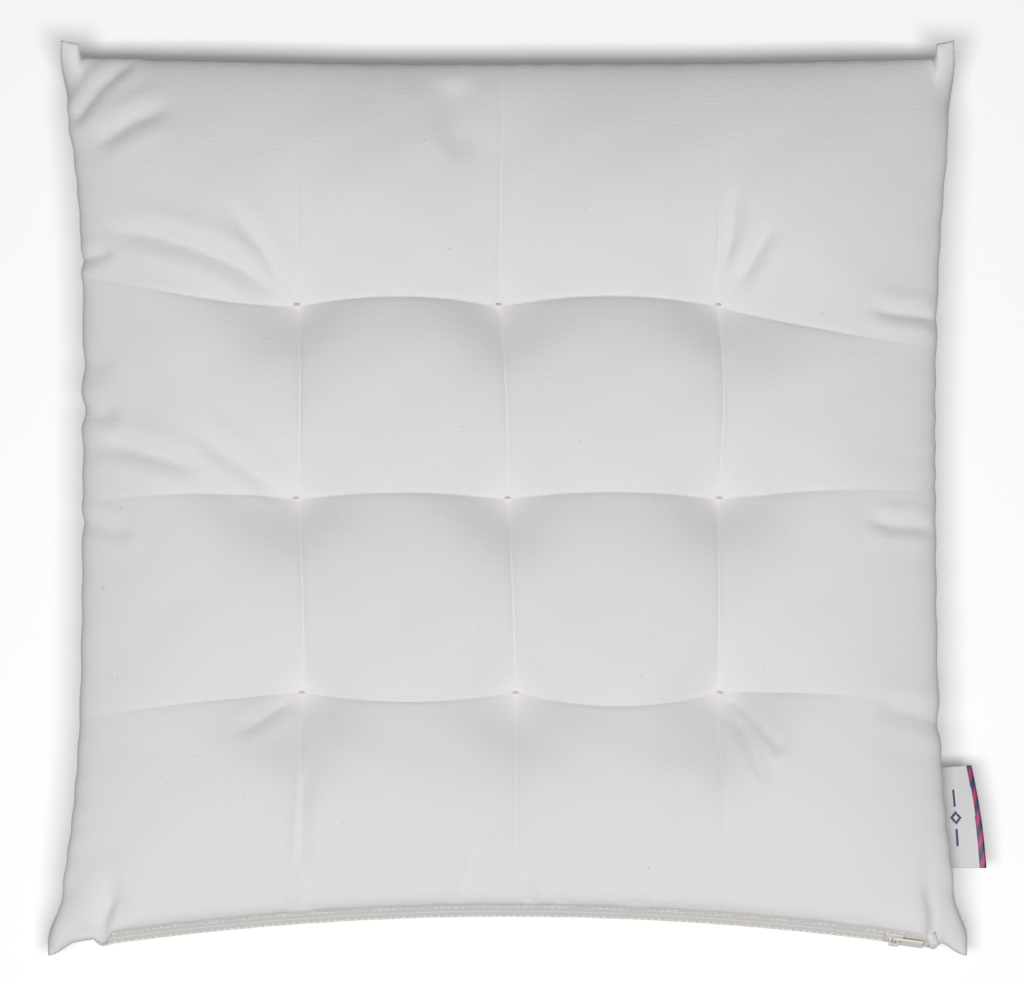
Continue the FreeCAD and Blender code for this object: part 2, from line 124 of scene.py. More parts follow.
# how deep each crease is between its tufts, and past its first and last tufts
COLUMN_DEPTHS = {"left": (6.0, 4.5, 2.5), "centre": (6.5, 9.0, 10.0), "right": (6.5, 1.5, 3.0)}
ROW_DEPTHS = {"front": (6.5, 5.0, 2.0), "middle": (7.0, 5.5, 4.0), "back": (9.0, 5.5, 4.5)}
shift_x, shift_y = np.zeros_like(u), np.zeros_like(u)
for k, (column, (front_end, bows, back_end)) in enumerate(COLUMN_CREASES.items(), 1):
    sewn = [tuft[row, column][0] for row in ("front", "middle", "back")]
    line = crease_line(side_knots(TUFT_ROWS), (front_end, *sewn, back_end), bows, flat_y)
    shift_x += tent(flat_x, side_knots(TUFT_COLUMNS), k) * (line - TUFT_COLUMNS[k - 1])
for k, (row, (left_end, bows, right_end)) in enumerate(ROW_CREASES.items(), 1):
    sewn = [tuft[row, column][1] for column in ("left", "centre", "right")]
    line = crease_line(side_knots(TUFT_COLUMNS), (left_end, *sewn, right_end), bows, flat_x)
    shift_y += tent(flat_y, side_knots(TUFT_ROWS), k) * (line - TUFT_ROWS[k - 1])


# how far the seam pulls in from the corners' square; towards the front corners it flares out
LEFT_INSET, RIGHT_INSET, BACK_INSET, BACK_BOW, FRONT_FLARE = 15.0, 13.5, 2.0, 3.5, 3.4
flare = FRONT_FLARE * np.exp(-(((v + 0.945) / 0.055) ** 2))
left_inset = LEFT_INSET * (1 - np.abs(v) ** 3.4) - flare
right_inset = RIGHT_INSET * (1 - np.abs(v) ** 3.4) - flare
back_inset = BACK_INSET * (1 - np.abs(u) ** 22) + BACK_BOW * (1 - u**2)
front_line = ZIP_CENTRE_Y + np.sqrt(ZIP_RADIUS**2 - (u * PAD / 2) ** 2)
front_inset = (front_line + PAD / 2) * (1 - smooth(np.abs(u), 0.94, 1.0))

# the seams gather the cloth into fine puckers, which end short of the corners
away_x, away_y = 1 - np.abs(u), 1 - np.abs(v)
puckers_x = 0.3 * np.sin(flat_y / 2.9 + 1.7 * np.sin(flat_y / 23)) * smooth(away_y, 0.03, 0.12)
puckers_y = 0.2 * np.sin(flat_x / 2.6 + 1.9 * np.sin(flat_x / 19)) * smooth(away_x, 0.03, 0.12)


def shouldered(distance, width):
    """Height of a rounded edge, 0 at the seam and 1 at its full width inwards."""
    t = np.clip(1 - distance / width, 0, 1)
    return (1 - t**ROUNDNESS) ** (1 / ROUNDNESS)


from_left, from_right = flat_x + PAD / 2, PAD / 2 - flat_x
from_front, from_back = flat_y + PAD / 2, PAD / 2 - flat_y

# ears: the stiff seam allowances inside the back corners stand up as small tabs
EAR_RISE, EAR_REACH, EAR_NIP = 13.0, 4.6, 2.2
corner = np.hypot(PAD / 2 - np.abs(flat_x), PAD / 2 - np.abs(flat_y))
ear = smooth(np.abs(flat_x), PAD / 2 - 11, PAD / 2 - 7.5) * np.exp(-((from_back / 8) ** 2))

# how much each edge bulges, as a share of a panel's overhang
SIDE_BULGE, BACK_BULGE, FRONT_BULGE = 1.6, 1.1, 0.5


def panel(shoulder, overhang):
    """x, y and the crown's share of one panel; its edge bulges past the seam by overhang."""

    def bulge(distance):
        near = (distance / 9) * np.exp(1 - distance / 9)
        return overhang * near * np.exp(-((distance / 34) ** 2))

    def drawn(distance):
        return np.clip(1 - distance / 130, 0, 1) ** 1.5

    x = flat_x + left_inset * drawn(from_left) - right_inset * drawn(from_right)
    x += smooth(away_y, 0.02, 0.2) * SIDE_BULGE * (bulge(from_right) - bulge(from_left))
    y = flat_y + front_inset * drawn(from_front) - back_inset * drawn(from_back)
    y += smooth(away_x, 0.02, 0.07) * BACK_BULGE * bulge(from_back)
    y -= smooth(away_x, 0.05, 0.16) * FRONT_BULGE * bulge(from_front)
    y += EAR_REACH * ear
    x -= np.sign(flat_x) * EAR_NIP * ear * smooth(from_back, 9, 0)
    longer = 1.15 * shoulder
    rise = shouldered(from_left, shoulder) * shouldered(from_right, shoulder)
    rise = rise * shouldered(from_front, longer) * shouldered(from_back, longer)
    return x + shift_x, y + shift_y, rise


seam_z = SEAM_HEIGHT + EAR_RISE * ear - 2.5 * np.exp(-((corner / 24) ** 2)) * (v < 0)
seam_z = seam_z + 0.9 * np.sin(flat_x / 21 + 0.8) * np.sin(flat_y / 27 + 0.4)


def quilting(deep, cusp, share):
    """How far the tufts and the creases between them sink a panel: deep at the tufts, and
    share of each crease's own depth elsewhere."""

    def valley(t, lines, s, crossed, depths):
        nearest = np.argmin([np.abs(t - line) for line in lines], axis=0)
        between, before, after = (share * np.array(d)[nearest] for d in zip(*depths.values()))
        gap = np.abs(t - np.array(lines)[nearest])
        half = np.where(np.abs(t) > lines[-1], 66.0, (lines[-1] - lines[0]) / 4)
        wall = np.clip(1 - gap / half, 0, 1) ** cusp
        to_tuft = np.min([np.abs(s - line) for line in crossed], axis=0)
        run = np.clip(1 - to_tuft / ((crossed[-1] - crossed[0]) / 4), 0, 1)
        ebb = np.clip(1 - to_tuft / 112, 0, 1)
        outside = np.where(s < 0, before, after)
        inner = between + (deep - between) * run**2.6
        outer = outside * ebb + (deep - outside) * ebb**4.5
        depth = np.where(np.abs(s) <= crossed[-1], inner, outer)
        groove = 1.1 * share * np.exp(-gap / 1.2) * np.clip(depth / 6, 0, 1)
        return wall * depth + groove

    down = valley(flat_x, TUFT_COLUMNS, flat_y, TUFT_ROWS, COLUMN_DEPTHS)
    over = valley(flat_y, TUFT_ROWS, flat_x, TUFT_COLUMNS, ROW_DEPTHS)
    return down + over - down * over / deep


# the filling is a little uneven
lumps = 0.5 * np.sin(flat_x / 17 + 1.1 * np.sin(flat_y / 31)) * np.sin(flat_y / 21 + 0.6)
lumps += 0.35 * np.sin(flat_x / 9.3 + 2 * np.sin(flat_y / 17)) * np.sin(flat_y / 11.7 + 2)

# the front edges open round the zip: the top panel folds in above it, the base panel below
open_zip = smooth(flat_x, ZIP_LEFT - 3.5, ZIP_LEFT)
open_zip = open_zip * smooth(-flat_x, -ZIP_RIGHT - 3.5, -ZIP_RIGHT)
# past the tapes' ends the top panel folds down over them, on to the base panel's edge
covered = smooth(np.abs(flat_x[:, 0] - (ZIP_LEFT + ZIP_RIGHT) / 2), 176.0, 179.5)
top_share = open_zip * (1 - 2 * covered)[:, None]
at_zip = smooth(-np.abs(flat_x), 1 - PAD / 2, 24 - PAD / 2) * np.exp(-((from_front / 26) ** 2))
seam_z = seam_z + (ZIP_HEIGHT - seam_z) * at_zip
MOUTH_RISE, MOUTH_RUN = MOUTH * math.sin(ZIP_SLOPE), MOUTH * math.cos(ZIP_SLOPE)
half_top = MOUTH_RISE * top_share * at_zip
half_base = MOUTH_RISE * open_zip * at_zip

top_x, top_y, top_rise = panel(TOP_SHOULDER, TOP_OVERHANG)
sunk = quilting(CROWN - TUFT_TOP, 2.5, 1.0)
top_y = top_y + MOUTH_RUN * top_share * np.exp(-((from_front / 26) ** 2))
lift = (CROWN - seam_z - half_top) * top_rise
top_z = seam_z + half_top + lift - sunk * np.clip(lift / 21, 0, 1) + lumps * top_rise

base_x, base_y, base_rise = panel(BASE_SHOULDER, BASE_OVERHANG)
base_sunk = quilting(TUFT_BASE - 0.2, 5.0, 0.25)
base_y = base_y - MOUTH_RUN * open_zip * np.exp(-((from_front / 14) ** 2))
low_edge = seam_z - half_base
base_z = low_edge + (0.2 - low_edge + base_sunk - 0.3 * lumps) * base_rise
base_z = np.maximum(base_z, 0.05)


def along_zip(x, up, out):
    """A place on the zip's face at x: up across the tapes, out from them."""
    inward = up * math.cos(ZIP_SLOPE) - out * math.sin(ZIP_SLOPE)
    stretch = 1 + inward / ZIP_RADIUS
    y = ZIP_CENTRE_Y + np.sqrt(ZIP_RADIUS**2 - x**2) * stretch
    z = ZIP_HEIGHT + up * math.sin(ZIP_SLOPE) + out * math.cos(ZIP_SLOPE)
    return x * stretch, y, z + np.zeros_like(x)


# either panel's folded edge ripples a little along the tape
ripple = 0.3 * np.sin(flat_x[:, 0] / 3.1 + 2 * np.sin(flat_x[:, 0] / 17))
over_ends = (MOUTH + ripple) * (1 - 2 * covered)


def meet_zip(x, y, z, up):
    """Bends a panel's front margin so that its edge lies along the zip's own edge."""
    _, edge_y, edge_z = along_zip(x[:, 0], up, 0.6 + 0.5 * covered)
    hold = open_zip * np.exp(-((from_front / 2.2) ** 2))
    y = y + hold * (edge_y - y[:, 0])[:, None]
    z = z + hold * (edge_z - z[:, 0])[:, None]
    return x, y, z


top_x, top_y, top_z = meet_zip(top_x, top_y, top_z, over_ends + 0.5)
base_x, base_y, base_z = meet_zip(base_x, base_y, base_z, -MOUTH - 0.5 - ripple)


# Folds of the top panel, one by one: its line in millimetres, depth and half-width. A fold
# that is sharp has a crease at its bottom; every one has a low roll along each side.
FOLDS = (
    # back left: a fan into the back left tuft, and the corner's own folds
    ([(-184, 119), (-159, 116), (-137, 109), (-116, 100), (-97, 87)], 3.0, 4.6, 0.8),
    ([(-126, 132), (-109, 110), (-98, 92)], 1.8, 4.0, 0.9),
    ([(-195, 106), (-187, 106), (-178, 108)], 1.8, 3.0, 0.6),
    ([(-170, 193), (-180, 184), (-190, 171)], 2.4, 3.2, 0.9),
    ([(-146, 175), (-166, 167), (-184, 155)], 2.4, 4.5, 0.9),
    # left side: between the tufts' rows
    ([(-184, 27), (-160, 19), (-131, 10)], 2.8, 4.2, 0.8),
    ([(-142, 30), (-118, 14), (-96, 0)], 2.2, 4.2, 0.8),
    ([(-190, 40), (-176, 36)], 2.2, 4.0, 0.7),
    ([(-192, 60), (-180, 58)], 1.2, 5.0, 0.4),
    ([(-190, -9), (-181, -12), (-170, -16)], 1.6, 3.6, 0.5),
    # front left
    ([(-120, -107), (-106, -97), (-94, -88)], 1.8, 3.4, 1.0),
    ([(-184, -193), (-178, -186), (-172, -177)], 2.4, 6.0, 0.6),
    # front right: two fans from the front right tuft
    ([(95, -89), (104, -105), (115, -130)], 2.2, 3.0, 1.0),
    ([(99, -90), (107, -98), (118, -111)], 1.8, 2.6, 1.0),
    # back right
    ([(99, 91), (108, 105), (117, 121)], 2.4, 3.8, 0.9),
    ([(95, 95), (99, 118), (101, 140)], 1.4, 3.4, 0.6),
    ([(156, 83), (170, 81), (192, 80)], 2.6, 3.4, 1.0),
    # right side
    ([(155, -10), (168, -13), (189, -13)], 2.4, 3.4, 1.0),
    ([(168, -94), (178, -96), (192, -101)], 1.5, 5.0, 0.4),
    # back: beside the centre crease
    ([(-19, 146), (-23, 168), (-24, 188)], 2.0, 8.0, 0.0),
    # front: the left column's crease runs on to the zip, and a soft one beside the right column
    ([(-88, -112), (-90, -140), (-91, -177)], 1.8, 4.5, 0.6),
    ([(80, -118), (76, -150), (73, -176)], 1.0, 6.5, 0.0),
    # front: short wrinkles that the zip's seam gathers
    ([(-22, -176), (-17, -166), (-15, -158)], 1.6, 3.5, 0.8),
    ([(9, -177), (8, -168)], 1.6, 3.5, 0.8),
    ([(24, -178), (21, -169)], 1.4, 3.5, 0.8),
    ([(57, -180), (52, -170)], 1.6, 4.0, 0.6),
    ([(-90, -179), (-84, -168)], 1.8, 5.0, 0.5),
    ([(150, -186), (143, -174)], 1.4, 5.0, 0.5),
)


def fold(x, y, points, depth, width, sharp):
    """How far one fold sinks each place of the panel."""
    points = np.array(points, float)
    lengths = np.hypot(*np.diff(points, axis=0).T)
    nearest, run = np.full(x.shape, 1e9), np.zeros(x.shape)
    for k, length in enumerate(lengths):
        way = (points[k + 1] - points[k]) / length
        t = np.clip((x - points[k, 0]) * way[0] + (y - points[k, 1]) * way[1], 0, length)
        distance = np.hypot(x - points[k, 0] - t * way[0], y - points[k, 1] - t * way[1])
        closer = distance < nearest
        nearest = np.where(closer, distance, nearest)
        run = np.where(closer, (lengths[:k].sum() + t) / lengths.sum(), run)
    rounded = np.exp(-((nearest / width) ** 2))
    creased = np.exp(-nearest / (0.6 * width))
    rolls = 0.35 * np.exp(-(((nearest - 1.9 * width) / width) ** 2))
    is_long = lengths.sum() > 30
    taper = smooth(run, 0.0, 0.35) * smooth(1 - run, 0.0, 0.25) if is_long else 0.75
    return depth * taper * (sharp * creased + (1 - sharp) * rounded - rolls)


# folds and puckers sink at right angles to the cloth
place = np.stack((top_x, top_y, top_z), -1)
normal = np.cross(np.gradient(place, axis=0), np.gradient(place, axis=1))
normal = normal / np.linalg.norm(normal, axis=-1, keepdims=True)
sink = sum(fold(top_x, top_y, *one) for one in FOLDS)
from_side = np.minimum(from_left, from_right)
sewn_edge = np.minimum(from_side, from_back)
inside = smooth(sewn_edge, 0, 3.5) * smooth(from_front, 0, 4)
sink = sink + puckers_x * np.exp(-from_side / 11) + puckers_y * np.exp(-from_back / 11)
top = place - (sink * inside)[..., None] * normal
base = np.stack((base_x, base_y, base_z), -1)
at_sides = np.exp(-from_side / 14)
at_ends = np.exp(-np.minimum(from_back, from_front) / 14)
base[..., 2] += 0.8 * (puckers_x * at_sides + puckers_y * at_ends) * inside
base[..., 2] = np.maximum(base[..., 2], 0.02)


def lip(edge_line, fold_line, side):
    """The panel's folded edge, out over the tape, then in past the tape's own edge."""
    rows = []
    below, behind = fold_line - 0.1 * side, side * MOUTH
    section = ((fold_line, 0.95), (below, 0.8), (behind, 0.68), (behind, -0.6), (behind, -3.6))
    for up, out in section:
        x, y, z = along_zip(edge_line[:, 0], up, out)
        rows.append(edge_line + open_zip[:, :1] * (np.stack((x, y, z), -1) - edge_line))
    return rows


seam_middle = (top + base) / 2
top_lip, base_lip = lip(top[:, 0], over_ends, 1), lip(base[:, 0], -MOUTH, -1)
vertices, faces = [], []


def add_sheet(rows, turned):
    """Adds a grid of points as faces that look the right way."""
    start = sum(len(block) for block in vertices)
    deep, wide = rows.shape[:2]
    vertices.append(rows.reshape(-1, 3))
    number = start + np.arange(deep * wide).reshape(deep, wide)
    quads = np.stack((number[:-1, :-1], number[1:, :-1], number[1:, 1:], number[:-1, 1:]), -1)
    quads = quads.reshape(-1, 4)
    faces.append(quads[:, ::-1] if turned else quads)


for panel_points in (top, base):
    for side in (np.s_[0, :], np.s_[-1, :], np.s_[:, -1]):
        panel_points[side] = seam_middle[side]
add_sheet(top, False)
add_sheet(base, True)
add_sheet(np.stack([top[:, 0], *top_lip, *base_lip[::-1], base[:, 0]], 1), True)


def mesh_object(name, points, polygons, weld):
    """A smooth-shaded object from points in millimetres; weld joins points that near."""
    mesh = bpy.data.meshes.new(name)
    mesh.from_pydata((np.asarray(points) * mm).tolist(), [], [list(map(int, p)) for p in polygons])
    made = bpy.data.objects.new(name, mesh)
    bpy.context.collection.objects.link(made)
    work = bmesh.new()
    work.from_mesh(mesh)
    bmesh.ops.remove_doubles(work, verts=work.verts, dist=weld * mm)
    bmesh.ops.dissolve_degenerate(work, edges=work.edges, dist=weld * mm / 4)
    bmesh.ops.recalc_face_normals(work, faces=work.faces)
    work.to_mesh(mesh)
    work.free()
    mesh.shade_smooth()
    return made


cover = mesh_object("quilted_cover", np.concatenate(vertices), np.concatenate(faces), weld=0.02)


def linear(hexcode):
    """An sRGB hex colour as linear RGBA."""
    parts = [int(hexcode[k : k + 2], 16) / 255 for k in (0, 2, 4)]
    return (*(c / 12.92 if c <= 0.04045 else ((c + 0.055) / 1.055) ** 2.4 for c in parts), 1)


def new_material(name):
    """A material and its shader node."""
    material = bpy.data.materials.new(name)
    material.use_nodes = True
    return material, material.node_tree.nodes["Principled BSDF"]


def add_node(tree, kind, links=(), **settings):
    """Adds a node to a tree; links gives its inputs as (socket, output or value)."""
    node = tree.nodes.new(kind)
    for name, value in settings.items():
        setattr(node, name, value)
    for socket, source in links:
        if isinstance(source, bpy.types.NodeSocket):
            tree.links.new(source, node.inputs[socket])
        else:
            node.inputs[socket].default_value = source
    return node


def mixed(tree, share, colour, other):
    """One hex colour, going over to the other by share."""
    sources = [("Factor", share), (6, linear(colour)), (7, linear(other))]
    return add_node(tree, "ShaderNodeMix", sources, data_type="RGBA").outputs[2]


BAND = 0.314  # a wave texture of scale s has its bands BAND / s apart


def bands(tree, place, pitch, direction, **more):
    """Bands pitch millimetres apart, as a wave texture's output."""
    settings = [("Vector", place), ("Scale", BAND / (pitch * mm))]
    settings += [(label.replace("_", " "), value) for label, value in more.items()]
    return add_node(tree, "ShaderNodeTexWave", settings, bands_direction=direction).outputs["Fac"]


def roughened(tree, shader, height, strength, depth):
    """Raises a shader's surface by a height, depth millimetres at most."""
    settings = [("Height", height), ("Strength", strength), ("Distance", depth * mm)]
    bump = add_node(tree, "ShaderNodeBump", settings)
    tree.links.new(bump.outputs[0], shader.inputs["Normal"])


def cotton(name, base_colour, speck_colour):
    """Half-panama cotton: plain weave, matt, with slubs along the weft, short fibres that
    catch the light at the edges and a few seed specks. Its threads are drawn 0.9 mm apart,
    twice their real pitch, so that they show."""
    material, shader = new_material(name)
    tree = material.node_tree
    place = add_node(tree, "ShaderNodeTexCoord").outputs["Object"]
    uneven = {"Distortion": 1.2, "Detail": 1.0, "Detail_Scale": 3.0}
    weft = bands(tree, place, 0.9, "Y", **uneven)
    warp = bands(tree, place, 0.9, "X", **uneven)
    weave = add_node(tree, "ShaderNodeMath", [(0, weft), (1, warp)], operation="MULTIPLY")
    drawn_out = add_node(tree, "ShaderNodeMapping", [("Vector", place), ("Scale", (1.0, 7.0, 1.0))])
    slubs = add_node(
        tree,
        "ShaderNodeTexNoise",
        [("Vector", drawn_out.outputs[0]), ("Scale", 1 / (7 * mm)), ("Detail", 4.0)],
    )
    height = add_node(
        tree,
        "ShaderNodeMath",
        [(0, slubs.outputs["Fac"]), (1, 1.9), (2, weave.outputs[0])],
        operation="MULTIPLY_ADD",
    )
    roughened(tree, shader, height.outputs[0], 0.55, 0.12)
    seeds = add_node(
        tree, "ShaderNodeTexNoise", [("Vector", place), ("Scale", 1 / (2.2 * mm)), ("Detail", 0.0)]
    )
    sparse = add_node(
        tree,
        "ShaderNodeMapRange",
        [("Value", seeds.outputs["Fac"]), ("From Min", 0.86), ("From Max", 0.9)],
    )
    tone = mixed(tree, sparse.outputs[0], base_colour, speck_colour)
    tree.links.new(tone, shader.inputs["Base Color"])
    shader.inputs["Roughness"].default_value = 0.88
    shader.inputs["Specular IOR Level"].default_value = 0.25
    shader.inputs["Sheen Weight"].default_value = 0.12
    shader.inputs["Sheen Roughness"].default_value = 0.5
    return material


cover_cotton = cotton("half_panama_cotton", "E3E1E2", "D6D0C8")
cover.data.materials.append(cover_cotton)
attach(cover, "pad")
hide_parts("cover_top_panel", "cover_bottom_panel", "fibre_filling")

# ---------------------------------------------------------------- tuft stitches
# Nine stitches of doubled linen thread. Each is a short bar of three strands in a pit on
# either panel, and a shank through the filling that holds the two bars together.
STRAND, BAR_LENGTH = 0.34, 2.4


def new_tree(name, sizes):
    """A Geometry Nodes tree with a Geometry input and a named input for each size."""
    tree = bpy.data.node_groups.new(name, "GeometryNodeTree")
    socket = tree.interface.new_socket
    socket("Geometry", in_out="INPUT", socket_type="NodeSocketGeometry")
    for label, kind in sizes:
        socket(label, in_out="INPUT", socket_type=kind)
    socket("Geometry", in_out="OUTPUT", socket_type="NodeSocketGeometry")
    return tree, tree.nodes.new("NodeGroupInput").outputs


def end_tree(tree, shape, material_socket):
    """Realize Instances and Set Material, then the tree's output."""
    real = add_node(tree, "GeometryNodeRealizeInstances", [(0, shape)])
    round_shaded = add_node(tree, "GeometryNodeSetShadeSmooth", [(0, real.outputs[0])])
    finished = add_node(
        tree,
        "GeometryNodeSetMaterial",
        [(0, round_shaded.outputs[0]), ("Material", material_socket)],
    )
    add_node(tree, "NodeGroupOutput", [(0, finished.outputs[0])])


def grown(name, points, edges, tree, values):
    """The plain mesh that a tree makes on a skeleton of points and edges, in millimetres."""
    skeleton = bpy.data.meshes.new(name)
    skeleton.from_pydata((np.asarray(points, float) * mm).tolist(), edges, [])
    base_object = bpy.data.objects.new(name, skeleton)
    bpy.context.collection.objects.link(base_object)
    modifier = base_object.modifiers.new(name, "NODES")
    modifier.node_group = tree
    sockets = {s.name: s.identifier for s in tree.interface.items_tree if s.in_out == "INPUT"}
    for label, value in values.items():
        modifier[sockets[label]] = value
    graph = bpy.context.evaluated_depsgraph_get()
    result = bpy.data.meshes.new_from_object(base_object.evaluated_get(graph))
    base_object.modifiers.clear()
    base_object.data = result
    return base_object


def spun_thread(name, colour, pitch):
    """Spun polyester or linen thread: matt, with the twist of its plies as slanting ribs."""
    material, shader = new_material(name)
    tree = material.node_tree
    place = add_node(tree, "ShaderNodeTexCoord").outputs["Object"]
    twist = bands(tree, place, pitch, "DIAGONAL", Distortion=0.5)
    roughened(tree, shader, twist, 0.5, 0.05)
    shader.inputs["Base Color"].default_value = linear(colour)
    shader.inputs["Roughness"].default_value = 0.7
    return material


linen_thread = spun_thread("waxed_linen_thread", "D3CBBE", 0.5)

tuft_tree, given = new_tree(
    "tuft_stitch",
    [
        ("Strand", "NodeSocketFloat"),
        ("Bar length", "NodeSocketFloat"),
        ("Shank", "NodeSocketFloat"),
        ("Material", "NodeSocketMaterial"),
    ],
)
strand_rod = add_node(
    tuft_tree, "GeometryNodeMeshUVSphere", [("Segments", 10), ("Rings", 8), ("Radius", 0.5)]
)
rod_scale = add_node(
    tuft_tree,
    "ShaderNodeCombineXYZ",
    [(0, given["Bar length"]), (1, given["Strand"]), (2, given["Strand"])],
)
three = add_node(
    tuft_tree,
    "GeometryNodeMeshLine",
    [("Count", 3), ("Start Location", (0, -0.3 * mm, 0)), ("Offset", (0, 0.3 * mm, 0))],
)
bar = add_node(
    tuft_tree,
    "GeometryNodeInstanceOnPoints",
    [
        ("Points", three.outputs[0]),
        ("Instance", strand_rod.outputs[0]),
        ("Scale", rod_scale.outputs[0]),
    ],
)
half_shank = add_node(
    tuft_tree, "ShaderNodeMath", [(0, given["Shank"]), (1, 0.5)], operation="MULTIPLY"
)
raised = add_node(tuft_tree, "ShaderNodeCombineXYZ", [(2, half_shank.outputs[0])])
lowered = add_node(
    tuft_tree,
    "ShaderNodeVectorMath",
    [(0, raised.outputs[0]), (1, (-1, -1, -1))],
    operation="MULTIPLY",
)
upper_bar = add_node(
    tuft_tree, "GeometryNodeTransform", [(0, bar.outputs[0]), ("Translation", raised.outputs[0])]
)
lower_bar = add_node(
    tuft_tree, "GeometryNodeTransform", [(0, bar.outputs[0]), ("Translation", lowered.outputs[0])]
)
shank = add_node(
    tuft_tree,
    "GeometryNodeMeshCylinder",
    [("Vertices", 10), ("Radius", given["Strand"]), ("Depth", given["Shank"])],
)
whole = add_node(tuft_tree, "GeometryNodeJoinGeometry")
for part in (upper_bar.outputs[0], lower_bar.outputs[0], shank.outputs[0]):
    tuft_tree.links.new(part, whole.inputs[0])
every = add_node(
    tuft_tree,
    "GeometryNodeInstanceOnPoints",
    [("Points", given["Geometry"]), ("Instance", whole.outputs[0])],
)
end_tree(tuft_tree, every.outputs[0], given["Material"])

tuft_nodes = [f"tuft_thread_{row}_{column}" for row, column in tuft]
bar_low, bar_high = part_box(tuft_nodes[0])
middle_z = (bar_low.z + bar_high.z) / 2 / mm
tufts = grown(
    "tuft_stitches",
    [(x, y, middle_z) for x, y in tuft.values()],
    [],
    tuft_tree,
    {
        "Strand": STRAND * mm,
        "Bar length": BAR_LENGTH * mm,
        "Shank": bar_high.z - bar_low.z - STRAND * mm,
        "Material": linen_thread,
    },
)
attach(tufts, "pad")
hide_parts(*tuft_nodes)

# ---------------------------------------------------------------- seam thread
# White sewing thread that joins the two panels at the left, back and right. The seam is sewn
# inside out, so only small loops of it show, down between the two panels.
STITCH_PITCH, STITCH_LENGTH, THREAD = 3.0, 2.2, 0.42
sewing_thread = spun_thread("spun_polyester_thread", "EFEBE3", 0.4)

stitch_tree, given = new_tree(
    "stitches",
    [
        ("Pitch", "NodeSocketFloat"),
        ("Length", "NodeSocketFloat"),
        ("Thread", "NodeSocketFloat"),
        ("Material", "NodeSocketMaterial"),
    ],
)
path = add_node(stitch_tree, "GeometryNodeMeshToCurve", [(0, given["Geometry"])])
marks = add_node(
    stitch_tree,
    "GeometryNodeResampleCurve",
    [(0, path.outputs[0]), ("Length", given["Pitch"])],
    mode="LENGTH",
)
tangent = add_node(stitch_tree, "GeometryNodeInputTangent")
turned = add_node(
    stitch_tree, "FunctionNodeAlignRotationToVector", [("Vector", tangent.outputs[0])], axis="X"
)
one_stitch = add_node(
    stitch_tree, "GeometryNodeMeshUVSphere", [("Segments", 8), ("Rings", 6), ("Radius", 0.5)]
)
stitch_scale = add_node(
    stitch_tree,
    "ShaderNodeCombineXYZ",
    [(0, given["Length"]), (1, given["Thread"]), (2, given["Thread"])],
)
row_of_stitches = add_node(
    stitch_tree,
    "GeometryNodeInstanceOnPoints",
    [
        ("Points", marks.outputs[0]),
        ("Instance", one_stitch.outputs[0]),
        ("Rotation", turned.outputs[0]),
        ("Scale", stitch_scale.outputs[0]),
    ],
)
end_tree(stitch_tree, row_of_stitches.outputs[0], given["Material"])


def stitched(name, runs, node):
    """Stitches along each run of points, as one piece that stands for a CAD thread."""
    points, edges = [], []
    for run in runs:
        edges += [(len(points) + k, len(points) + k + 1) for k in range(len(run) - 1)]
        points += [tuple(p) for p in run]
    values = {"Pitch": STITCH_PITCH * mm, "Length": STITCH_LENGTH * mm, "Thread": THREAD * mm}
    made = grown(name, points, edges, stitch_tree, {**values, "Material": sewing_thread})
    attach(made, "pad")
    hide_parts(node)


seam_ends = slice(4, -4)
left_seam = top[0, seam_ends] - (0.1, 0, 0)
back_seam = top[seam_ends, -1] + (0, 0.1, 0)
right_seam = top[-1, seam_ends] + (0.1, 0, 0)
label_low, label_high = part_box("woven_label")
in_front = right_seam[right_seam[:, 1] < label_low.y / mm - 3]
beyond = right_seam[right_seam[:, 1] > label_high.y / mm + 3]
stitched("seam_thread", [left_seam, back_seam, in_front, beyond], "edge_seam_thread")

# ---------------------------------------------------------------- zip tapes and their stitching
# Two woven polyester tapes in natural white. The reverse coil's smooth side faces out. Each
# tape is sewn to its panel's folded edge by one row of stitches.
tape_material, tape_shader = new_material("woven_polyester_tape")
tree = tape_material.node_tree
place = add_node(tree, "ShaderNodeTexCoord").outputs["Object"]
ribs = bands(tree, place, 1.0, "X", Distortion=0.6)
roughened(tree, tape_shader, ribs, 0.35, 0.1)
tape_shader.inputs["Base Color"].default_value = linear("E2E0DC")
tape_shader.inputs["Roughness"].default_value = 0.62
tape_shader.inputs["Sheen Weight"].default_value = 0.1
TAPE_EDGE, TAPE_INNER, TAPE, NIP = 4.2, 0.3, 0.6, 0.15
TAPE_SECTION = (
    (TAPE_INNER, 0.05),
    (TAPE_INNER, 0.5),
    (TAPE_INNER + NIP, TAPE),
    (2.3, TAPE + 0.05),
    (TAPE_EDGE, TAPE),
    (TAPE_EDGE, 0.0),
    (TAPE_INNER + NIP, 0.0),
)
tape_places = np.linspace(-175.2, 184.2, 300)
for side, sign in (("upper", 1), ("lower", -1)):
    lines = [np.stack(along_zip(tape_places, sign * up, out), -1) for up, out in TAPE_SECTION]
    ring = np.stack(lines, 1)
    count, around = ring.shape[:2]
    number = np.arange(count * around).reshape(count, around)
    quads = [
        (number[k, j], number[k + 1, j], number[k + 1, j - around + 1], number[k, j - around + 1])
        for k in range(count - 1)
        for j in range(around)
    ]
    ends = [tuple(number[0]), tuple(number[-1][::-1])]
    tape = mesh_object(f"tape_{side}", ring.reshape(-1, 3), quads + ends, weld=0.001)
    tape.data.shade_flat()
    tape.data.materials.append(tape_material)
    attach(tape, "pad")
    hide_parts(f"zip_tape_{side}")

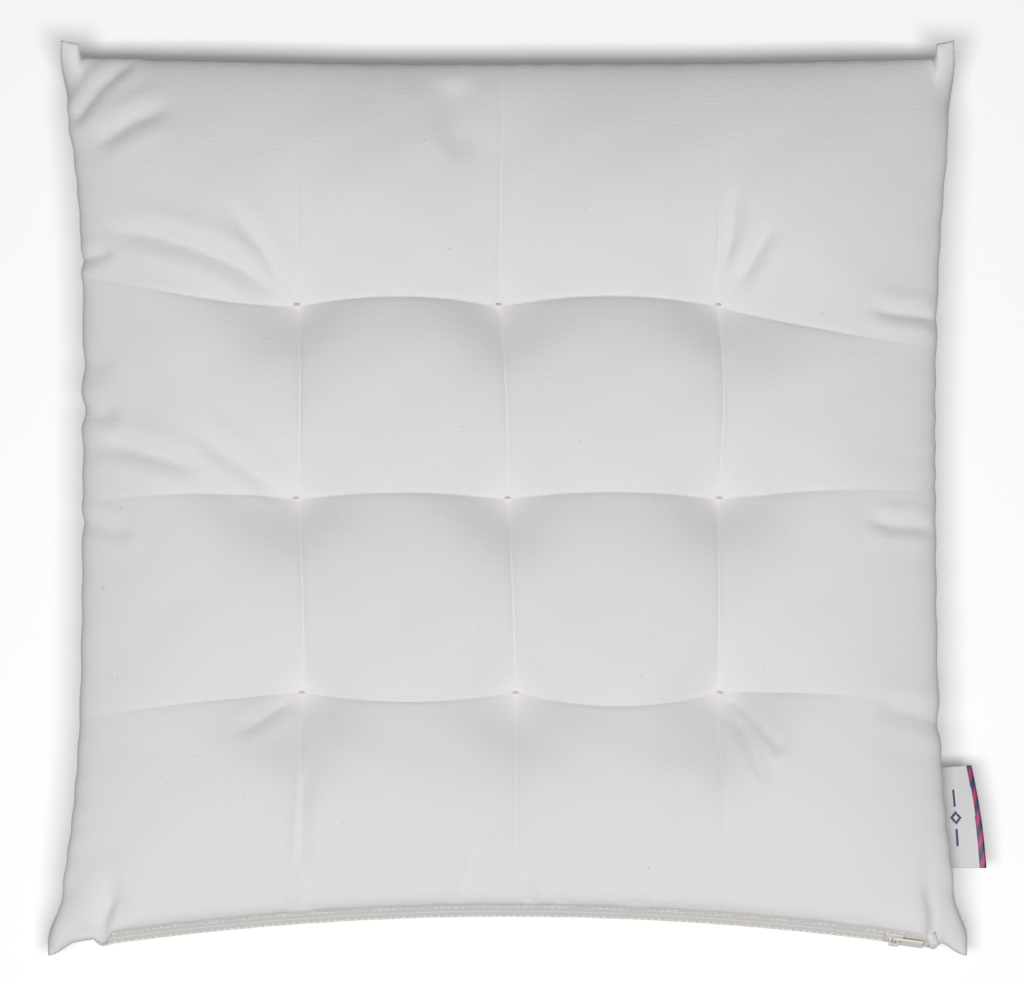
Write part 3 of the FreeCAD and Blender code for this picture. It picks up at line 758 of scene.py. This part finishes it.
STITCH_ROW = 3.75  # the zip's middle to either row of stitches
stitch_places = np.linspace(ZIP_LEFT + 4, ZIP_RIGHT - 4, 200)
for side, sign in (("upper", 1), ("lower", -1)):
    row_points = np.stack(along_zip(stitch_places, sign * STITCH_ROW, TAPE + 0.15), -1)
    stitched(f"tape_stitching_{side}", [row_points], f"zip_stitching_{side}")

# ---------------------------------------------------------------- zip coil and stops
# The chain is one nylon monofilament per tape, wound as a coil and sewn to the tape's inner
# side. Small pressed blocks end it: two at the right, one at the left.
TURN_PITCH, FILAMENT, TURN_POINTS = 1.35, 0.27, 8
COIL_MIDDLE, COIL_OUT, COIL_HALF_WIDTH, COIL_HALF_DEPTH = 1.35, -0.8, 0.55, 0.52
CHAIN_LEFT, CHAIN_RIGHT = -164.5, 173.5

# the tree winds the filament round a path along the tape, in the zip's own cross-section
coil_tree, given = new_tree(
    "zip_coil",
    [
        ("Points", "NodeSocketInt"),
        ("Half width", "NodeSocketFloat"),
        ("Half depth", "NodeSocketFloat"),
        ("Filament", "NodeSocketFloat"),
        ("Centre", "NodeSocketVector"),
        ("Up share", "NodeSocketFloat"),
        ("In share", "NodeSocketFloat"),
        ("Material", "NodeSocketMaterial"),
    ],
)
path = add_node(coil_tree, "GeometryNodeMeshToCurve", [(0, given["Geometry"])])
marks = add_node(
    coil_tree,
    "GeometryNodeResampleCurve",
    [(0, path.outputs[0]), ("Count", given["Points"])],
    mode="COUNT",
)
here = add_node(coil_tree, "GeometryNodeInputPosition")
from_centre = add_node(
    coil_tree,
    "ShaderNodeVectorMath",
    [(0, here.outputs[0]), (1, given["Centre"])],
    operation="SUBTRACT",
)
level = add_node(
    coil_tree,
    "ShaderNodeVectorMath",
    [(0, from_centre.outputs[0]), (1, (1, 1, 0))],
    operation="MULTIPLY",
)
radial = add_node(coil_tree, "ShaderNodeVectorMath", [(0, level.outputs[0])], operation="NORMALIZE")
mark_number = add_node(coil_tree, "GeometryNodeInputIndex")
turn = add_node(
    coil_tree,
    "ShaderNodeMath",
    [(0, mark_number.outputs[0]), (1, 2 * math.pi / TURN_POINTS)],
    operation="MULTIPLY",
)


def swing(function, reach, radial_share, height_share):
    """One half of the coil's turn: a direction in the zip's cross-section times its wave."""
    wave = add_node(coil_tree, "ShaderNodeMath", [(0, turn.outputs[0])], operation=function)
    size = add_node(
        coil_tree, "ShaderNodeMath", [(0, wave.outputs[0]), (1, reach)], operation="MULTIPLY"
    )
    flat_part = add_node(
        coil_tree, "ShaderNodeVectorMath", [(0, radial.outputs[0])], operation="SCALE"
    )
    coil_tree.links.new(radial_share, flat_part.inputs["Scale"])
    high_part = add_node(coil_tree, "ShaderNodeCombineXYZ", [(2, height_share)])
    way = add_node(
        coil_tree,
        "ShaderNodeVectorMath",
        [(0, flat_part.outputs[0]), (1, high_part.outputs[0])],
        operation="ADD",
    )
    moved = add_node(coil_tree, "ShaderNodeVectorMath", [(0, way.outputs[0])], operation="SCALE")
    coil_tree.links.new(size.outputs[0], moved.inputs["Scale"])
    return moved.outputs[0]


downhill = add_node(
    coil_tree, "ShaderNodeMath", [(0, given["Up share"]), (1, -1.0)], operation="MULTIPLY"
)
across_turn = swing("COSINE", given["Half width"], given["In share"], given["Up share"])
depth_turn = swing("SINE", given["Half depth"], downhill.outputs[0], given["In share"])
offset = add_node(
    coil_tree, "ShaderNodeVectorMath", [(0, across_turn), (1, depth_turn)], operation="ADD"
)
wound = add_node(
    coil_tree,
    "GeometryNodeSetPosition",
    [("Geometry", marks.outputs[0]), ("Offset", offset.outputs[0])],
)
filament_round = add_node(
    coil_tree,
    "GeometryNodeCurvePrimitiveCircle",
    [("Resolution", 6), ("Radius", given["Filament"])],
    mode="RADIUS",
)
filament = add_node(
    coil_tree,
    "GeometryNodeCurveToMesh",
    [
        ("Curve", wound.outputs[0]),
        ("Profile Curve", filament_round.outputs[0]),
        ("Fill Caps", True),
    ],
)
end_tree(coil_tree, filament.outputs[0], given["Material"])

# nylon: milky white, with the slight gloss of a drawn filament
nylon, nylon_shader = new_material("nylon_monofilament")
nylon_shader.inputs["Base Color"].default_value = linear("E6E4E0")
nylon_shader.inputs["Roughness"].default_value = 0.35
nylon_shader.inputs["IOR"].default_value = 1.53

coil_places = np.linspace(CHAIN_LEFT, CHAIN_RIGHT, 240)
turns = round((CHAIN_RIGHT - CHAIN_LEFT) / TURN_PITCH)
for side, sign in (("upper", 1), ("lower", -1)):
    row_points = np.stack(along_zip(coil_places, sign * COIL_MIDDLE, COIL_OUT), -1)
    coil = grown(
        f"coil_{side}",
        row_points,
        [(k, k + 1) for k in range(len(row_points) - 1)],
        coil_tree,
        {
            "Points": turns * TURN_POINTS,
            "Half width": COIL_HALF_WIDTH * mm,
            "Half depth": COIL_HALF_DEPTH * mm,
            "Filament": FILAMENT * mm,
            "Centre": (0.0, ZIP_CENTRE_Y * mm, 0.0),
            "Up share": math.sin(ZIP_SLOPE),
            "In share": math.cos(ZIP_SLOPE),
            "Material": nylon,
        },
    )
    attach(coil, "pad")
    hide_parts(f"zip_coil_{side}")
for name in ("zip_top_stops", "zip_bottom_stop"):
    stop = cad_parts[name]
    stop.data.materials.clear()
    stop.data.materials.append(nylon)

# ---------------------------------------------------------------- slider and pull
# A small die-cast zinc slider and its stamped pull, both lacquered natural white to go with
# the tape. The edges are tumbled round before they are lacquered.
lacquer, lacquer_shader = new_material("lacquered_zinc")
lacquer_shader.inputs["Base Color"].default_value = linear("E2E0DA")
lacquer_shader.inputs["Roughness"].default_value = 0.32
lacquer_shader.inputs["Coat Weight"].default_value = 0.3
lacquer_shader.inputs["Coat Roughness"].default_value = 0.15


def tumbled(name, node, body, rounding):
    """A CAD node's own shape with rounded edges."""
    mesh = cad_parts[node].data.copy()
    work = bmesh.new()
    work.from_mesh(mesh)
    bmesh.ops.remove_doubles(work, verts=work.verts, dist=1e-6)
    bmesh.ops.dissolve_limit(work, angle_limit=math.radians(1), verts=work.verts, edges=work.edges)
    work.to_mesh(mesh)
    work.free()
    made = bpy.data.objects.new(name, mesh)
    bpy.context.collection.objects.link(made)
    bevel = made.modifiers.new("tumbled_edges", "BEVEL")
    bevel.width, bevel.segments, bevel.limit_method = rounding * mm, 2, "ANGLE"
    mesh.materials.clear()
    mesh.materials.append(lacquer)
    mesh.shade_smooth()
    made.modifiers.new("flat_faces", "WEIGHTED_NORMAL")
    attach(made, body)
    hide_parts(node)


tumbled("slider", "zip_slider", "slider", 0.15)
tumbled("pull_tab", "zip_pull", "pull", 0.3)

# ---------------------------------------------------------------- woven label
# A damask label of white satin, folded double and sewn into the right seam. A plain border of
# slanting navy and magenta stripes runs along its fold, and a small woven diamond with two
# lines stands in for any lettering.
LABEL_PLY, LABEL_GAP, WEAVE_CELL = 0.3, 1.1, 0.3
BORDER, STRIPE_PITCH, NAVY_SHARE = 2.2, 9.6, 0.52
DIAMOND_INNER, DIAMOND_OUTER = 1.2, 2.5
LINE_HALF_WIDTH, LINE_START, LINE_END = 0.45, 4.8, 12.5
satin_colours = {
    "label_white_satin": "CFCFD1",
    "label_navy_thread": "22305F",
    "label_magenta_thread": "A81E66",
}


def satin(name, colour):
    """Polyester satin: long floats across the label give a soft, stretched gleam."""
    material, shader = new_material(name)
    tree = material.node_tree
    place = add_node(tree, "ShaderNodeTexCoord").outputs["UV"]
    floats = add_node(
        tree,
        "ShaderNodeTexWave",
        [("Vector", place), ("Scale", BAND / 0.4), ("Distortion", 0.4)],
        bands_direction="Y",
    )
    roughened(tree, shader, floats.outputs["Fac"], 0.2, 0.04)
    shader.inputs["Base Color"].default_value = linear(colour)
    shader.inputs["Roughness"].default_value = 0.42
    shader.inputs["Sheen Weight"].default_value = 0.15
    return material


label_back, label_front = label_high.y / mm - 1.5, label_low.y / mm + 0.5
label_root = label_low.x / mm - 1.0
label_level = (label_low.z + label_high.z) / 2 / mm
down_label = np.linspace(0, 1, round((label_back - label_front) / WEAVE_CELL) + 1)
reach_back, reach_front = 15.5, label_high.x / mm - 4.6 - label_root
half_gap = LABEL_GAP / 2


def label_reach(t):
    """How far the fold stands out, from 0 at the label's back end to 1 at its front."""
    return reach_back + (reach_front - reach_back) * t + 0.8 * np.sin(math.pi * t)


def label_points(half):
    """The loop as a grid, its section by its length: out from the seam, round the fold and
    back, with its lean, a slight curl and a mouth that opens at the back."""
    out = np.arange(0, 1 + 1e-9, 1 / 56)
    bend = np.linspace(0, math.pi, 9)[1:-1]
    share = np.concatenate((out, np.ones(len(bend)), out[::-1]))
    level = np.full(len(out), half)
    height = np.concatenate((level, half * np.cos(bend), -level))
    beyond = np.concatenate((0 * out, half * np.sin(bend), 0 * out))
    s, t = np.meshgrid(share, down_label, indexing="ij")
    x = label_root + 0.8 * t + s * label_reach(t) + beyond[:, None]
    y = label_back + (label_front - label_back) * t + 1.2 * (1 - t) * s
    open_mouth = 1 + 1.2 * np.exp(-(((1 - s) / 0.35) ** 2)) * (1 - t)
    curl = 1.1 * np.sin(math.pi * t) * s**2 - 0.5 * s
    return np.stack((x, y, label_level + height[:, None] * open_mouth + curl), -1)


outer, inner = label_points(half_gap + LABEL_PLY), label_points(half_gap)
deep, wide = outer.shape[:2]
number = np.arange(deep * wide).reshape(deep, wide)
outer_quads = np.stack((number[:-1, :-1], number[:-1, 1:], number[1:, 1:], number[1:, :-1]), -1)
outer_quads = outer_quads.reshape(-1, 4)
inner_quads = outer_quads[:, ::-1] + deep * wide
rim = [number[0, :], number[:, -1], number[-1, ::-1], number[::-1, 0]]
rim_quads = []
for line in rim:
    for a, b in zip(line, line[1:]):
        rim_quads.append((b, a, a + deep * wide, b + deep * wide))
label = mesh_object(
    "woven_loop_label",
    np.concatenate((outer.reshape(-1, 3), inner.reshape(-1, 3))),
    list(outer_quads) + list(inner_quads) + rim_quads,
    weld=0.001,
)
for name, colour in satin_colours.items():
    label.data.materials.append(satin(name, colour))
fold_out = half_gap + LABEL_PLY
length_mm = label_back - label_front
for face in label.data.polygons:
    x, y, z = np.array(face.center) / mm
    t = (label_back - y) / length_mm
    reach = label_reach(t)
    from_seam = x - label_root - 0.8 * t
    to_fold = reach + fold_out - from_seam
    if to_fold < BORDER + 0.9 * t:
        stripe = ((y + 2.2 * to_fold) / STRIPE_PITCH) % 1
        face.material_index = 1 if stripe < NAVY_SHARE else 2
    elif face.normal.z > 0.3:
        middle = abs(from_seam - 0.46 * reach)
        off = abs(y - (label_back + label_front) / 2)
        on_diamond = DIAMOND_INNER < middle + off * 0.8 < DIAMOND_OUTER
        if on_diamond or (middle < LINE_HALF_WIDTH and LINE_START < off < LINE_END):
            face.material_index = 1
uv = label.data.uv_layers.new(name="weave")
for loop in label.data.loops:
    x, y, z = np.array(label.data.vertices[loop.vertex_index].co) / mm
    uv.data[loop.index].uv = (y, x)
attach(label, "pad")
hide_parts("woven_label")

# ---------------------------------------------------------------- studio
# A plain pale floor under the pad, a broad soft light from the front, and even daylight. The
# floor looks white to the camera but throws little light back at the pad.
bpy.ops.mesh.primitive_plane_add(size=8, location=(0, 0, -0.0005))
floor = bpy.context.object
floor.name = "floor"
paper, paper_shader = new_material("matt_white_paper")
rays = add_node(paper.node_tree, "ShaderNodeLightPath").outputs["Is Camera Ray"]
seen = mixed(paper.node_tree, rays, "8E8E90", "FAFAFA")
paper.node_tree.links.new(seen, paper_shader.inputs["Base Color"])
paper_shader.inputs["Roughness"].default_value = 0.9
paper_shader.inputs["Emission Color"].default_value = linear("FFFFFF")
paper_shader.inputs["Emission Strength"].default_value = 0.12
floor.data.materials.append(paper)

world = bpy.data.worlds.new("daylight")
world.use_nodes = True
bpy.context.scene.world = world
bpy.context.scene.view_settings.view_transform = "Standard"
world.node_tree.nodes["Background"].inputs["Color"].default_value = linear("F4F6FA")
world.node_tree.nodes["Background"].inputs["Strength"].default_value = 0.17

softbox_data = bpy.data.lights.new("overhead_softbox", "AREA")
softbox_data.shape, softbox_data.size, softbox_data.size_y = "RECTANGLE", 2.4, 0.8
softbox_data.energy, softbox_data.color = 64, linear("FFFEFC")[:3]
softbox = bpy.data.objects.new("overhead_softbox", softbox_data)
softbox.location = (-0.04, -0.82, 2.6)
softbox.rotation_euler = (-softbox.location).to_track_quat("-Z", "Y").to_euler()
bpy.context.collection.objects.link(softbox)

camera_data = bpy.data.cameras.new("camera")
camera = bpy.data.objects.new("camera", camera_data)
bpy.context.collection.objects.link(camera)
bpy.context.scene.camera = camera
ELEVATION, DISTANCE, ACROSS = math.radians(82.5), 3.6, 0.4511
target = np.array((0.002, 0.0045, 0.02))
camera.location = target + DISTANCE * np.array((0, -math.cos(ELEVATION), math.sin(ELEVATION)))
camera.rotation_euler = (math.pi / 2 - ELEVATION, 0, 0)
camera_data.lens = 36 * DISTANCE / ACROSS
camera_data.clip_end = 50

bpy.context.view_layer.update()
